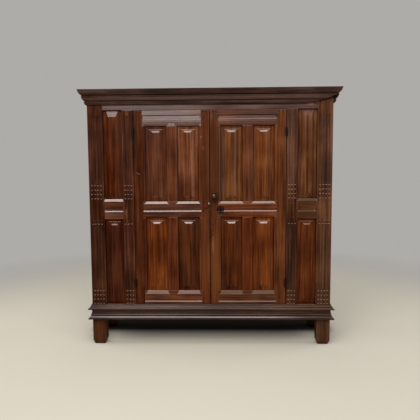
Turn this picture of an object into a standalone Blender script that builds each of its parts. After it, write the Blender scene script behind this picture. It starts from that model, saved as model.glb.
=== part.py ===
"""Housekeeper's cupboard: a joined oak press with two fielded doors between fluted posts.

Metres, +Z up, front towards -Y. The origin is on the floor, in the middle of the overall footprint.
Every member is a separate piece: rails are tenoned into stiles and posts, panels float in grooves,
doors hang on lift-off hinges and the right door carries a rim lock.
"""
import math
from itertools import accumulate

import bmesh
import bpy
from mathutils import Matrix

# Case
CASE_WIDTH = 1.708
CASE_DEPTH = 0.450
FOOT_HEIGHT = 0.189
DOOR_HEIGHT = 1.372
FRIEZE_HEIGHT = 0.122
TOP_THICKNESS = 0.016

# Cornice, from its lower edge up: three slopes that swell a little, parted by quirks, and a square fillet
CORNICE_START = 0.002
CORNICE_LOWER_OUT = 0.014
CORNICE_LOWER_HEIGHT = 0.024
CORNICE_MIDDLE_OUT = 0.016
CORNICE_MIDDLE_HEIGHT = 0.032
CORNICE_CROWN_OUT = 0.020
CORNICE_CROWN_HEIGHT = 0.032
CORNICE_FILLET_OUT = 0.002
CORNICE_FILLET_HEIGHT = 0.006
CORNICE_SWELL = 0.003
CORNICE_QUIRK_IN = 0.005
CORNICE_QUIRK_OUT = 0.004
CORNICE_QUIRK_HEIGHT = 0.005

# Base moulding, from its lower edge up: a swept toe with a bead, a leaning flat, a second toe with
# a bead, and a plain strip
BASE_NOSE_HEIGHT = 0.006
BASE_LOWER_OUT = 0.026
BASE_LOWER_ROOT = 0.006
BASE_LOWER_HEIGHT = 0.0195
BASE_LOWER_BEAD = 0.005
BASE_FLAT_OUT = 0.003
BASE_FLAT_HEIGHT = 0.0285
BASE_UNDERCUT_HEIGHT = 0.006
BASE_UPPER_OUT = 0.0265
BASE_UPPER_ROOT = 0.012
BASE_UPPER_HEIGHT = 0.008
BASE_UPPER_BEAD = 0.006
BASE_STRIP_HEIGHT = 0.008
BASE_QUIRK = 0.001

# Front frame
POST_WIDTH = 0.106
POST_DEPTH = 0.070
JAMB_WIDTH = 0.078
FLANK_WIDTH = 0.133
FRAME_THICKNESS = 0.035
FLANK_RAIL_HEIGHT = 0.144
FLANK_RAIL_DROP = 0.0125
FOOT_SETBACK = 0.012
FOOT_TAPER = 0.012
FOOT_TAPER_HEIGHT = 0.030

# Carcase boards
BACK_POST_WIDTH = 0.084
BACK_POST_DEPTH = 0.080
SIDE_THICKNESS = 0.018
SIDE_SETBACK = 0.006
SIDE_BOTTOM = 0.195
BACK_THICKNESS = 0.016
BACK_BOTTOM = 0.209
BACK_BOARD_COUNT = 8
BACK_GROOVE = 0.003
FLOOR_THICKNESS = 0.018
FLOOR_STOP = 0.012
SHELF_THICKNESS = 0.022
SHELF_TOP = 0.985
DADO_DEPTH = 0.006
POST_GROOVE = 0.008

# Doors
DOOR_THICKNESS = 0.026
DOOR_GAP = 0.003
SIDE_GAP = 0.005
CENTRE_GAP = 0.006
HINGE_STILE = 0.079
MEETING_STILE = 0.074
MUNTIN = 0.076
TOP_RAIL = 0.1075
MID_RAIL = 0.1135
BOTTOM_RAIL = 0.098

# Fielded panels
PANEL_SETBACK = 0.014
PANEL_THICKNESS = 0.006
PANEL_TONGUE = 0.008
GROOVE_DEPTH = 0.0085
PANEL_EDGE = 0.002
MARGIN_RISE = 0.001
STEP_WIDTH = 0.0025
STEP_RISE = 0.004
FIELD_RISE = 0.011
DOOR_SIDE_MARGIN = 0.0265
DOOR_END_MARGIN = 0.023
DOOR_SIDE_FLAT = 0.0135
DOOR_END_FLAT = 0.0065
DOOR_BEVEL = 0.0125
FLANK_SIDE_MARGIN = 0.0215
FLANK_END_MARGIN = 0.016
FLANK_SIDE_FLAT = 0.018
FLANK_END_FLAT = 0.014
FLANK_BEVEL = 0.009
UPPER_FLANK_MARGIN = 0.024
UPPER_FLANK_SIDE_BEVEL = 0.014
UPPER_FLANK_END_BEVEL = 0.042

# Edge mouldings round the panel openings
MOULD_DEPTH = 0.008
MOULD_OVERRUN = 0.001
THUMBNAIL_STEPS = (0.5, 0.85)
DOOR_SIDE_MOULD = 0.017
DOOR_TOP_MOULD = 0.018
MID_SILL = 0.0165
BOTTOM_SILL = 0.026
FLANK_SILL = 0.0175
FLANK_EDGE = 0.004

# Worked faces of the rails: a single slope, or a band of two slopes with a step between them.
# Each starts at a height above its rail's lower edge.
SLOPE_HEIGHT = 0.0115
SLOPE_DEPTH = 0.0055
MID_SLOPE_START = 0.0415
BOTTOM_SLOPE_START = 0.0155
FLANK_SLOPE_START = 0.053
BAND_START = 0.0205
BAND_QUIRK_HEIGHT = 0.003
BAND_QUIRK_DEPTH = 0.004
BAND_SET = 0.0015
BAND_LOWER_HEIGHT = 0.021
BAND_LOWER_DEPTH = 0.002
BAND_STEP_HEIGHT = 0.007
BAND_STEP_DEPTH = 0.005
BAND_UPPER_HEIGHT = 0.024
BAND_UPPER_DEPTH = 0.0025
MOULDING_STEPS = 4

# Flutes and gouge cuts on the posts and jambs
POST_FLUTES = 4
JAMB_FLUTES = 3
FLUTE_PITCH = 0.0215
FLUTE_RADIUS = 0.0078
FLUTE_AXIS_OUT = 0.002
FLUTE_SIDES = 8
FLUTE_RINGS = 3
FLUTE_DROP = 0.037
GOUGE_ROWS = 3
GOUGE_PITCH = 0.031
GOUGE_HEIGHT = 0.022
BLOCK_RISE = 0.003
FLUTE_HEAD_DROP = 0.038
NICK_HEIGHT = 0.013
NICK_GAP = 0.004

# Worn lower edge at the right end of the cornice: distance in from the post's outer face, and height
CORNICE_WEAR = ((0.330, 0.0), (0.220, 0.007), (0.110, 0.017), (0.080, 0.024), (-0.020, 0.056))

# Ironwork
HINGE_INSET = 0.127
HINGE_LENGTH = 0.052
HINGE_FINIAL = 0.006
FINIAL_RADIUS = 0.004
FINIAL_NECK = 0.003
KNUCKLE_RADIUS = 0.0065
KNUCKLE_PROUD = 0.007
PIN_RADIUS = 0.003
LEAF_THICKNESS = 0.002
LEAF_WIDTH = 0.020
LEAF_INSET = 0.0015
LOCK_WIDTH = 0.100
LOCK_HEIGHT = 0.064
LOCK_THICKNESS = 0.020
LOCK_INSET = 0.007
BOLT_LENGTH = 0.074
BOLT_HEIGHT = 0.016
BOLT_THICKNESS = 0.008
BOLT_RISE = 0.018
KEYHOLE_RISE = 0.0555
KEYHOLE_INSET = 0.0155
KEYHOLE_RADIUS = 0.004
KEYHOLE_SLOT = 0.011
ESCUTCHEON_RADIUS = 0.025
ESCUTCHEON_THICKNESS = 0.002
PIERCING_RADIUS = 0.0048
PIERCING_CIRCLE = 0.0155
PIERCINGS = 4
KNOB_INSET = 0.026
KNOB_RISE = 0.037
KNOB_RADIUS = 0.0165
KNOB_OUT = 0.032
KNOB_BALL_DEPTH = 0.024
KNOB_NECK = 0.007
KNOB_NECK_OUT = 0.007
KNOB_COLLAR = 0.010
KNOB_COLLAR_OUT = 0.003
KNOB_SHANK = 0.006
KNOB_SHANK_LENGTH = 0.018
KNOB_STEPS = 8
ROUND_SIDES = 20

# Joinery
TENON_LENGTH = 0.030
TENON_ROOT = 0.006
TENON_SHOULDER = 0.014
SHOULDER_SET = 0.001
DOOR_TENON = 0.008
FRAME_TENON = 0.010
CLEARANCE = 0.0003

# Places that follow from the sizes above
SIDES = {"left": -1, "right": 1}
HALF = CASE_WIDTH / 2
CORNICE_OUT = (CORNICE_START + CORNICE_LOWER_OUT + CORNICE_MIDDLE_OUT + CORNICE_CROWN_OUT
               + CORNICE_FILLET_OUT + 2 * (CORNICE_QUIRK_OUT - CORNICE_QUIRK_IN))
CORNICE_HEIGHT = (CORNICE_LOWER_HEIGHT + CORNICE_MIDDLE_HEIGHT + CORNICE_CROWN_HEIGHT
                  + CORNICE_FILLET_HEIGHT + 2 * CORNICE_QUIRK_HEIGHT)
BASE_HEIGHT = (2 * BASE_NOSE_HEIGHT + BASE_LOWER_HEIGHT + BASE_FLAT_HEIGHT + BASE_UNDERCUT_HEIGHT
               + BASE_UPPER_HEIGHT + 2 * (BASE_LOWER_BEAD + BASE_UPPER_BEAD + BASE_QUIRK)
               + BASE_STRIP_HEIGHT)
FRONT = -(CASE_DEPTH - CORNICE_OUT) / 2
BACK = FRONT + CASE_DEPTH
POST_INNER = HALF - POST_WIDTH
JAMB_OUTER = POST_INNER - FLANK_WIDTH
JAMB_INNER = JAMB_OUTER - JAMB_WIDTH
DOOR_OUTER = JAMB_INNER - SIDE_GAP
DOOR_INNER = CENTRE_GAP / 2
BASE_TOP = FOOT_HEIGHT + BASE_HEIGHT
DOOR_BOTTOM = BASE_TOP + DOOR_GAP
DOOR_TOP = DOOR_BOTTOM + DOOR_HEIGHT
FRIEZE_BOTTOM = DOOR_TOP + DOOR_GAP
POST_TOP = FRIEZE_BOTTOM + FRIEZE_HEIGHT
CASE_TOP = POST_TOP + TOP_THICKNESS
OPENING_HEIGHT = (DOOR_HEIGHT - BOTTOM_RAIL - MID_RAIL - TOP_RAIL) / 2
LOWER_BOTTOM = DOOR_BOTTOM + BOTTOM_RAIL
LOWER_TOP = LOWER_BOTTOM + OPENING_HEIGHT
UPPER_BOTTOM = LOWER_TOP + MID_RAIL
UPPER_TOP = UPPER_BOTTOM + OPENING_HEIGHT
OPENING_WIDTH = (DOOR_OUTER - DOOR_INNER - HINGE_STILE - MEETING_STILE - MUNTIN) / 2
STILE_EDGE = DOOR_INNER + MEETING_STILE
MUNTIN_INNER = STILE_EDGE + OPENING_WIDTH
MUNTIN_OUTER = MUNTIN_INNER + MUNTIN
HINGE_STILE_EDGE = DOOR_OUTER - HINGE_STILE
RAIL_INNER = STILE_EDGE - DOOR_SIDE_MOULD - SHOULDER_SET
RAIL_OUTER = HINGE_STILE_EDGE + DOOR_SIDE_MOULD + SHOULDER_SET
FLANK_RAIL_BOTTOM = LOWER_TOP - FLANK_RAIL_DROP
FLANK_RAIL_TOP = FLANK_RAIL_BOTTOM + FLANK_RAIL_HEIGHT
BACK_FACE = BACK - BACK_THICKNESS
BACK_POST_FRONT = BACK_FACE - BACK_POST_DEPTH
BACK_POST_INNER = HALF - BACK_POST_WIDTH
SIDE_OUTER = HALF - SIDE_SETBACK
SIDE_INNER = SIDE_OUTER - SIDE_THICKNESS
HINGE_AXIS_X = JAMB_INNER - SIDE_GAP / 2
HINGE_AXIS_Y = FRONT - KNUCKLE_PROUD
KEYHOLE_X = RAIL_INNER + KEYHOLE_INSET
KEYHOLE_Z = LOWER_TOP + KEYHOLE_RISE

for leftover in list(bpy.data.objects):
    bpy.data.objects.remove(leftover, do_unlink=True)

part_collection = bpy.data.collections.new("housekeepers_cupboard")
tool_collection = bpy.data.collections.new("cutters")
bpy.context.scene.collection.children.link(part_collection)
bpy.context.scene.collection.children.link(tool_collection)


def finish(name, colour, roughness, metallic=0.0):
    """Principled material for one kind of surface."""
    material = bpy.data.materials.new(name)
    material.use_nodes = True
    shader = material.node_tree.nodes["Principled BSDF"]
    shader.inputs["Base Color"].default_value = (*colour, 1.0)
    shader.inputs["Roughness"].default_value = roughness
    shader.inputs["Metallic"].default_value = metallic
    return material


post_oak = finish("post_oak", (0.115, 0.048, 0.020), 0.45)
frame_oak = finish("frame_oak", (0.150, 0.058, 0.024), 0.42)
panel_oak = finish("panel_oak", (0.230, 0.085, 0.028), 0.40)
moulding_oak = finish("moulding_oak", (0.085, 0.034, 0.016), 0.45)
board_oak = finish("board_oak", (0.120, 0.070, 0.038), 0.65)
black_iron = finish("black_iron", (0.020, 0.019, 0.018), 0.55, 0.9)
bright_iron = finish("bright_iron", (0.180, 0.170, 0.160), 0.45, 1.0)
turned_oak = finish("turned_oak", (0.045, 0.018, 0.010), 0.25)


# Mesh helpers

def box(xs, ys, zs):
    """Box between two values on each axis, given in either order."""
    spans = [sorted(pair) for pair in (xs, ys, zs)]
    centre = [(low + high) / 2 for low, high in spans]
    size = [high - low for low, high in spans]
    bm = bmesh.new()
    matrix = Matrix.Translation(centre) @ Matrix.Diagonal((*size, 1.0))
    bmesh.ops.create_cube(bm, size=1.0, matrix=matrix)
    return bm


def extrude(outline, vector):
    """Flat outline of 3D points pushed along a vector."""
    bm = bmesh.new()
    face = bm.faces.new([bm.verts.new(point) for point in outline])
    grown = bmesh.ops.extrude_face_region(bm, geom=[face])["geom"]
    moved = [item for item in grown if isinstance(item, bmesh.types.BMVert)]
    bmesh.ops.translate(bm, verts=moved, vec=vector)
    bmesh.ops.recalc_face_normals(bm, faces=bm.faces)
    return bm


def loft(sections):
    """Skin through sections with equal point counts, closed at both ends."""
    bm = bmesh.new()
    loops = [[bm.verts.new(point) for point in section] for section in sections]
    count = len(loops[0])
    for near, far in zip(loops, loops[1:]):
        for i in range(count):
            j = (i + 1) % count
            bm.faces.new((near[i], near[j], far[j], far[i]))
    bm.faces.new(loops[0])
    bm.faces.new(loops[-1])
    bmesh.ops.recalc_face_normals(bm, faces=bm.faces)
    return bm


def upright_section(xs, zs, depth):
    """Corners of an upright rectangle, a given depth behind the front plane."""
    (left, right), (bottom, top) = sorted(xs), sorted(zs)
    y = FRONT + depth
    return [(left, y, bottom), (right, y, bottom), (right, y, top), (left, y, top)]


def level_section(xs, ys, z, inset=0.0):
    """Corners of a level rectangle drawn in by an inset."""
    (left, right), (near, far) = sorted(xs), sorted(ys)
    left, right, near, far = left + inset, right - inset, near + inset, far - inset
    return [(left, near, z), (right, near, z), (right, far, z), (left, far, z)]


def arc(centre, radii, start, end, steps):
    """Points on an ellipse between two angles in degrees."""
    angles = [math.radians(start + (end - start) * i / steps) for i in range(steps + 1)]
    return [(centre[0] + radii[0] * math.cos(a), centre[1] + radii[1] * math.sin(a)) for a in angles]


def rod(x, y, z, radius, length, matrix=None):
    """Cylinder on the Z axis, or turned by a matrix, with its middle at a point."""
    bm = bmesh.new()
    place = Matrix.Translation((x, y, z))
    if matrix is not None:
        place = place @ matrix
    bmesh.ops.create_cone(bm, cap_ends=True, segments=ROUND_SIDES, radius1=radius,
                          radius2=radius, depth=length, matrix=place)
    return bm


ALONG_Y = Matrix.Rotation(math.pi / 2, 4, "X")


def new_object(name, bm, collection):
    """Object whose origin is the middle of its own mesh."""
    corners = [vert.co for vert in bm.verts]
    middle = [(min(c[i] for c in corners) + max(c[i] for c in corners)) / 2 for i in range(3)]
    bmesh.ops.translate(bm, verts=bm.verts, vec=[-value for value in middle])
    mesh = bpy.data.meshes.new(name)
    bm.to_mesh(mesh)
    bm.free()
    item = bpy.data.objects.new(name, mesh)
    item.location = middle
    collection.objects.link(item)
    return item


def hang(item, carrier):
    """Parent to an empty without moving."""
    if carrier is not None:
        item.parent = carrier
        item.matrix_parent_inverse = Matrix.Translation(carrier.location).inverted()


def add_part(name, bm, material, carrier=None):
    """Visible piece of the cupboard."""
    item = new_object(name, bm, part_collection)
    item.data.materials.append(material)
    hang(item, carrier)
    return item


def add_turned(name, profile, material, location, rotation=(0.0, 0.0, 0.0), carrier=None):
    """Turned piece from a profile of radius and height, listed from the top down."""
    mesh = bpy.data.meshes.new(name)
    points = [(radius, 0.0, height) for radius, height in profile]
    mesh.from_pydata(points, [(i, i + 1) for i in range(len(points) - 1)], [])
    item = bpy.data.objects.new(name, mesh)
    item.location = location
    item.rotation_euler = rotation
    part_collection.objects.link(item)
    item.data.materials.append(material)
    hang(item, carrier)
    screw = item.modifiers.new("turning", "SCREW")
    screw.steps = ROUND_SIDES
    screw.render_steps = ROUND_SIDES
    screw.use_merge_vertices = True
    screw.merge_threshold = 0.00005
    screw.use_smooth_shade = True
    return item


def add_tool(name, bm):
    """Shape that cuts or joins, and is not itself part of the cupboard."""
    item = new_object(name, bm, tool_collection)
    item.hide_render = True
    item.display_type = "WIRE"
    return item


def combine(item, tool, operation):
    """Boolean of a piece with a tool."""
    modifier = item.modifiers.new(f"{operation.lower()} {tool.name}", "BOOLEAN")
    modifier.object = tool
    modifier.operation = operation
    modifier.solver = "EXACT"


def cut(tool, *items):
    """Take one tool out of several pieces."""
    for item in items:
        combine(item, tool, "DIFFERENCE")


def wider(span, by=CLEARANCE):
    """Span of two values, grown at both ends."""
    low, high = sorted(span)
    return (low - by, high + by)


def tenon(rail, receiver, xs, ys, zs):
    """Tenon joined to a rail, with its mortise cut in the piece that receives it."""
    name = f"{rail.name}_in_{receiver.name}"
    combine(rail, add_tool(f"{name}_tenon", box(xs, ys, zs)), "UNION")
    cut(add_tool(f"{name}_mortise", box(wider(xs), wider(ys), wider(zs))), receiver)


def side_tenon(rail, receiver, edge, direction, zs, thickness, depth):
    """Tenon at a rail's end, going sideways into a stile whose inner edge is given."""
    xs = (edge - direction * TENON_ROOT, edge + direction * TENON_LENGTH)
    middle = FRONT + depth / 2
    ys = (middle - thickness / 2, middle + thickness / 2)
    tenon(rail, receiver, xs, ys, (min(zs) + TENON_SHOULDER, max(zs) - TENON_SHOULDER))


def end_tenon(stile, receiver, edge, direction, xs, thickness, depth):
    """Tenon at an upright's end, going up or down into a rail whose edge is given."""
    zs = (edge - direction * TENON_ROOT, edge + direction * TENON_LENGTH)
    middle = FRONT + depth / 2
    ys = (middle - thickness / 2, middle + thickness / 2)
    tenon(stile, receiver, (min(xs) + TENON_SHOULDER, max(xs) - TENON_SHOULDER), ys, zs)


def walk(start, moves):
    """Points reached from a start by a list of moves in two directions."""
    points = [start]
    for first, second in moves:
        points.append((points[-1][0] + first, points[-1][1] + second))
    return points


SLOPE = ((SLOPE_DEPTH, SLOPE_HEIGHT),)
BAND = (
    (BAND_QUIRK_DEPTH, BAND_QUIRK_HEIGHT / 2),
    (BAND_SET - BAND_QUIRK_DEPTH, BAND_QUIRK_HEIGHT / 2),
    (BAND_LOWER_DEPTH, BAND_LOWER_HEIGHT),
    (BAND_STEP_DEPTH, BAND_STEP_HEIGHT),
    (BAND_UPPER_DEPTH, BAND_UPPER_HEIGHT),
)


def worked_rail(name, xs, bottom, height, thickness, start, moves, material, carrier=None):
    """Rail between its shoulders, its face cut back from a start by moves of depth and height."""
    face = walk((0.0, start), moves)
    profile = [(thickness, 0.0), (0.0, 0.0), *face, (0.0, face[-1][1]), (0.0, height), (thickness, height)]
    left, right = wider(xs, -CLEARANCE)
    outline = [(left, FRONT + depth, bottom + level) for depth, level in profile]
    return add_part(name, extrude(outline, (right - left, 0.0, 0.0)), material, carrier)


# Panel openings

def mould_opening(name, xs, zs, members, side, top, sill):
    """Moulding worked round an opening: a thumbnail on the sides and top, a plain slope below."""
    (left, right), (bottom, head) = sorted(xs), sorted(zs)
    thumbnail = [(up, 1 - math.sqrt(1 - up ** 2)) for up in THUMBNAIL_STEPS]
    (low_up, low_out), (high_up, high_out) = thumbnail[0], thumbnail[-1]
    past = MOULD_OVERRUN / MOULD_DEPTH
    start = (-past, -past * low_out / low_up)
    end = (1 + past, 1 + past * (1 - high_out) / (1 - high_up))
    sections = []
    for up, out in (start, *thumbnail, end):
        across = (left - side * out, right + side * out)
        along = (bottom - sill * up, head + top * out)
        sections.append(upright_section(across, along, MOULD_DEPTH * (1 - up)))
    cut(add_tool(f"{name}_moulding", loft(sections)), *members)


def groove_opening(name, xs, zs, members):
    """Groove for a panel's tongue in all the members round an opening."""
    ys = (FRONT + PANEL_SETBACK, FRONT + PANEL_SETBACK + PANEL_THICKNESS)
    tool = box(wider(xs, GROOVE_DEPTH), wider(ys), wider(zs, GROOVE_DEPTH))
    cut(add_tool(f"{name}_groove", tool), *members)


def fielded_panel(name, xs, zs, steps, carrier=None):
    """Panel with a raised field. Each step is a side and an end inset from the opening, and a rise."""
    back = PANEL_SETBACK + PANEL_THICKNESS
    edge = (wider(xs, PANEL_TONGUE), wider(zs, PANEL_TONGUE))
    sections = [upright_section(*edge, back), upright_section(*edge, PANEL_SETBACK)]
    for side, end, rise in steps:
        sections.append(upright_section(wider(xs, -side), wider(zs, -end), PANEL_SETBACK - rise))
    return add_part(name, loft(sections), panel_oak, carrier)


def stepped_field(margins, flats, bevel):
    """Steps of a panel with a margin, a small step, a flat and a steep bevel round its field.

    Margins and flats are given for the sides and for the ends."""
    rises = accumulate((0.0, MARGIN_RISE, STEP_RISE, 0.0, FIELD_RISE - MARGIN_RISE - STEP_RISE))
    insets = []
    for margin, flat in zip(margins, flats):
        insets.append(accumulate((PANEL_EDGE, margin - PANEL_EDGE, STEP_WIDTH, flat, bevel)))
    return list(zip(*insets, rises))


DOOR_FIELD = stepped_field((DOOR_SIDE_MARGIN, DOOR_END_MARGIN), (DOOR_SIDE_FLAT, DOOR_END_FLAT), DOOR_BEVEL)
LOWER_FLANK_FIELD = stepped_field((FLANK_SIDE_MARGIN, FLANK_END_MARGIN), (FLANK_SIDE_FLAT, FLANK_END_FLAT),
                                  FLANK_BEVEL)
UPPER_FLANK_FIELD = [
    (UPPER_FLANK_MARGIN, PANEL_EDGE, 0.0),
    (UPPER_FLANK_MARGIN + UPPER_FLANK_SIDE_BEVEL, PANEL_EDGE + UPPER_FLANK_END_BEVEL, FIELD_RISE),
]


# Fluting

def add_gouge(bm, x, bottom, top):
    """One stopped flute with tapering ends, as a stretched ball on an upright axis."""
    made = bmesh.ops.create_uvsphere(bm, u_segments=FLUTE_SIDES, v_segments=FLUTE_RINGS,
                                     radius=FLUTE_RADIUS)["verts"]
    stretch = (top - bottom) / 2 - FLUTE_RADIUS
    for vert in made:
        vert.co.z += math.copysign(stretch, vert.co.z)
    place = (x, FRONT - FLUTE_AXIS_OUT, (bottom + top) / 2)
    bmesh.ops.translate(bm, verts=made, vec=place)


def flute(item, middle, count):
    """Two tiers of flutes on a post or jamb, each ending in rows of short gouge cuts."""
    columns = [middle + (i - (count - 1) / 2) * FLUTE_PITCH for i in range(count)]
    flank_rail_middle = (FLANK_RAIL_BOTTOM + FLANK_RAIL_TOP) / 2
    tiers = (
        (BASE_TOP + BLOCK_RISE, FLANK_RAIL_BOTTOM - FLUTE_HEAD_DROP),
        (flank_rail_middle + FLANK_RAIL_HEIGHT / 2, FRIEZE_BOTTOM - FLUTE_DROP),
    )
    bm = bmesh.new()
    for x in columns:
        for block_bottom, flute_top in tiers:
            for row in range(GOUGE_ROWS):
                low = block_bottom + row * GOUGE_PITCH
                add_gouge(bm, x, low, low + GOUGE_HEIGHT)
            add_gouge(bm, x, block_bottom + GOUGE_ROWS * GOUGE_PITCH, flute_top)
        nick = tiers[0][1] + NICK_GAP
        add_gouge(bm, x, nick, nick + NICK_HEIGHT)
    cut(add_tool(f"{item.name}_flutes", bm), item)


# Front frame

frame_back = FRONT + FRAME_THICKNESS
rail_span = wider((-POST_INNER, POST_INNER), -CLEARANCE)
frieze_rail = add_part(
    "frieze_rail",
    box(rail_span, (FRONT, frame_back), (FRIEZE_BOTTOM, POST_TOP)), frame_oak)
bottom_rail = add_part(
    "bottom_rail",
    box(rail_span, (FRONT, frame_back), (FOOT_HEIGHT, BASE_TOP)), frame_oak)

posts = {}
jambs = {}
for side, sign in SIDES.items():
    xs = (sign * POST_INNER, sign * HALF)
    foot_xs = (sign * (POST_INNER + FOOT_SETBACK), sign * HALF)
    ys = (FRONT, FRONT + POST_DEPTH)
    post = add_part(f"{side}_front_post", loft([
        level_section(foot_xs, ys, 0.0, FOOT_TAPER),
        level_section(foot_xs, ys, FOOT_TAPER_HEIGHT),
        level_section(foot_xs, ys, FOOT_HEIGHT - FOOT_SETBACK),
        level_section(xs, ys, FOOT_HEIGHT - CLEARANCE),
        level_section(xs, ys, POST_TOP),
    ]), post_oak)
    for rail, zs in ((frieze_rail, (FRIEZE_BOTTOM, POST_TOP)), (bottom_rail, (FOOT_HEIGHT, BASE_TOP))):
        side_tenon(rail, post, sign * POST_INNER, sign, zs, FRAME_TENON, FRAME_THICKNESS)
    posts[side] = post

    xs = (sign * JAMB_INNER, sign * JAMB_OUTER)
    jamb_zs = wider((BASE_TOP, FRIEZE_BOTTOM), -CLEARANCE)
    jamb = add_part(f"{side}_jamb_stile", box(xs, (FRONT, frame_back), jamb_zs), frame_oak)
    end_tenon(jamb, frieze_rail, FRIEZE_BOTTOM, 1, xs, FRAME_TENON, FRAME_THICKNESS)
    end_tenon(jamb, bottom_rail, BASE_TOP, -1, xs, FRAME_TENON, FRAME_THICKNESS)
    jambs[side] = jamb

    xs = (sign * JAMB_OUTER, sign * POST_INNER)
    zs = (FLANK_RAIL_BOTTOM, FLANK_RAIL_TOP)
    flank_rail = worked_rail(f"{side}_flank_rail", xs, FLANK_RAIL_BOTTOM, FLANK_RAIL_HEIGHT, FRAME_THICKNESS,
                             FLANK_SLOPE_START, SLOPE, frame_oak)
    side_tenon(flank_rail, post, sign * POST_INNER, sign, zs, FRAME_TENON, FRAME_THICKNESS)
    side_tenon(flank_rail, jamb, sign * JAMB_OUTER, -sign, zs, FRAME_TENON, FRAME_THICKNESS)

    flank_openings = (
        ("lower", (BASE_TOP, FLANK_RAIL_BOTTOM), bottom_rail, flank_rail, FLANK_EDGE, LOWER_FLANK_FIELD),
        ("upper", (FLANK_RAIL_TOP, FRIEZE_BOTTOM), flank_rail, frieze_rail, FLANK_SILL, UPPER_FLANK_FIELD),
    )
    for level, zs, below, above, sill, field in flank_openings:
        name = f"{side}_{level}_flank_panel"
        members = (post, jamb, below, above)
        mould_opening(name, xs, zs, members, FLANK_EDGE, FLANK_EDGE, sill)
        groove_opening(name, xs, zs, members)
        fielded_panel(name, xs, zs, field)

    flute(post, sign * (POST_INNER + HALF) / 2, POST_FLUTES)
    flute(jamb, sign * (JAMB_INNER + JAMB_OUTER) / 2, JAMB_FLUTES)


# Back posts, side boards and back boards

side_boards = {}
back_posts = {}
side_near = FRONT + POST_DEPTH - POST_GROOVE
side_far = BACK_POST_FRONT + POST_GROOVE
for side, sign in SIDES.items():
    xs = (sign * BACK_POST_INNER, sign * HALF)
    ys = (BACK_POST_FRONT, BACK_FACE)
    back_post = add_part(f"{side}_back_post", loft([
        level_section(xs, ys, 0.0, FOOT_TAPER),
        level_section(xs, ys, FOOT_TAPER_HEIGHT),
        level_section(xs, ys, POST_TOP),
    ]), board_oak)
    xs = (sign * SIDE_INNER, sign * SIDE_OUTER)
    side_board = add_part(f"{side}_side_board", box(xs, (side_near, side_far), (SIDE_BOTTOM, POST_TOP)),
                          board_oak)
    seat = box(wider(xs), wider((side_near, side_far)), wider((SIDE_BOTTOM, POST_TOP)))
    cut(add_tool(f"{side}_side_board_seat", seat), posts[side], back_post)
    back_posts[side] = back_post
    side_boards[side] = side_board

back_half = HALF - SIDE_SETBACK
back_boards = add_part(
    "back_boards",
    box((-back_half, back_half), (BACK_FACE + CLEARANCE, BACK), (BACK_BOTTOM, POST_TOP)), board_oak)
for i in range(1, BACK_BOARD_COUNT):
    x = -back_half + 2 * back_half * i / BACK_BOARD_COUNT
    outline = [(x - BACK_GROOVE, BACK + CLEARANCE, BACK_BOTTOM - BACK_GROOVE),
               (x + BACK_GROOVE, BACK + CLEARANCE, BACK_BOTTOM - BACK_GROOVE),
               (x, BACK - BACK_GROOVE, BACK_BOTTOM - BACK_GROOVE)]
    groove = extrude(outline, (0.0, 0.0, POST_TOP - BACK_BOTTOM + 2 * BACK_GROOVE))
    cut(add_tool(f"back_board_joint_{i}", groove), back_boards)


# Top, floor and shelf

top_board = add_part(
    "top_board", box((-HALF, HALF), (FRONT, BACK), (POST_TOP + CLEARANCE, CASE_TOP)), board_oak)

board_half = SIDE_INNER + DADO_DEPTH - CLEARANCE
board_back = BACK_FACE - CLEARANCE
floor_top = BASE_TOP + FLOOR_STOP
floor_zs = (floor_top - FLOOR_THICKNESS, floor_top)
floor_near = FRONT + DOOR_THICKNESS + CLEARANCE
stop_half = JAMB_INNER - CLEARANCE
floor_board = add_part(
    "floor_board",
    box((-board_half, board_half), (frame_back + CLEARANCE, board_back), floor_zs), board_oak)
stop_tool = add_tool(
    "floor_stop", box((-stop_half, stop_half), (floor_near, frame_back + TENON_ROOT), floor_zs))
combine(floor_board, stop_tool, "UNION")
rebate = box((-stop_half - 2 * CLEARANCE, stop_half + 2 * CLEARANCE),
             (floor_near - CLEARANCE, frame_back + TENON_ROOT), wider(floor_zs))
cut(add_tool("floor_rebate", rebate), bottom_rail)

shelf_zs = (SHELF_TOP - SHELF_THICKNESS, SHELF_TOP)
shelf_near = FRONT + POST_DEPTH + CLEARANCE
shelf = add_part("shelf", box((-board_half, board_half), (shelf_near, board_back), shelf_zs), board_oak)

for side, sign in SIDES.items():
    post_notch = box(wider((sign * POST_INNER, sign * HALF)), (FRONT, FRONT + POST_DEPTH + CLEARANCE),
                     (FOOT_HEIGHT, FRIEZE_BOTTOM))
    cut(add_tool(f"{side}_front_notch", post_notch), floor_board)
    back_notch = box(wider((sign * BACK_POST_INNER, sign * HALF)),
                     (BACK_POST_FRONT - CLEARANCE, BACK), (FOOT_HEIGHT, FRIEZE_BOTTOM))
    cut(add_tool(f"{side}_back_notch", back_notch), floor_board, shelf)
    dado_xs = (sign * (SIDE_INNER - DADO_DEPTH), sign * (SIDE_INNER + DADO_DEPTH))
    for name, zs in (("floor", floor_zs), ("shelf", shelf_zs)):
        dado = box(dado_xs, (side_near - DADO_DEPTH, side_far + DADO_DEPTH), wider(zs))
        cut(add_tool(f"{side}_{name}_dado", dado), side_boards[side])


# Cornice and base mouldings, as sections of projection and height

def swelling_slope(foot, out, height):
    """Points above a foot, along a straight slope that swells a little."""
    points = []
    for step in range(1, MOULDING_STEPS + 1):
        along = step / MOULDING_STEPS
        swell = CORNICE_SWELL * math.sin(math.pi * along)
        points.append((foot[0] + out * along + swell, foot[1] + height * along - swell))
    return points


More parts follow.
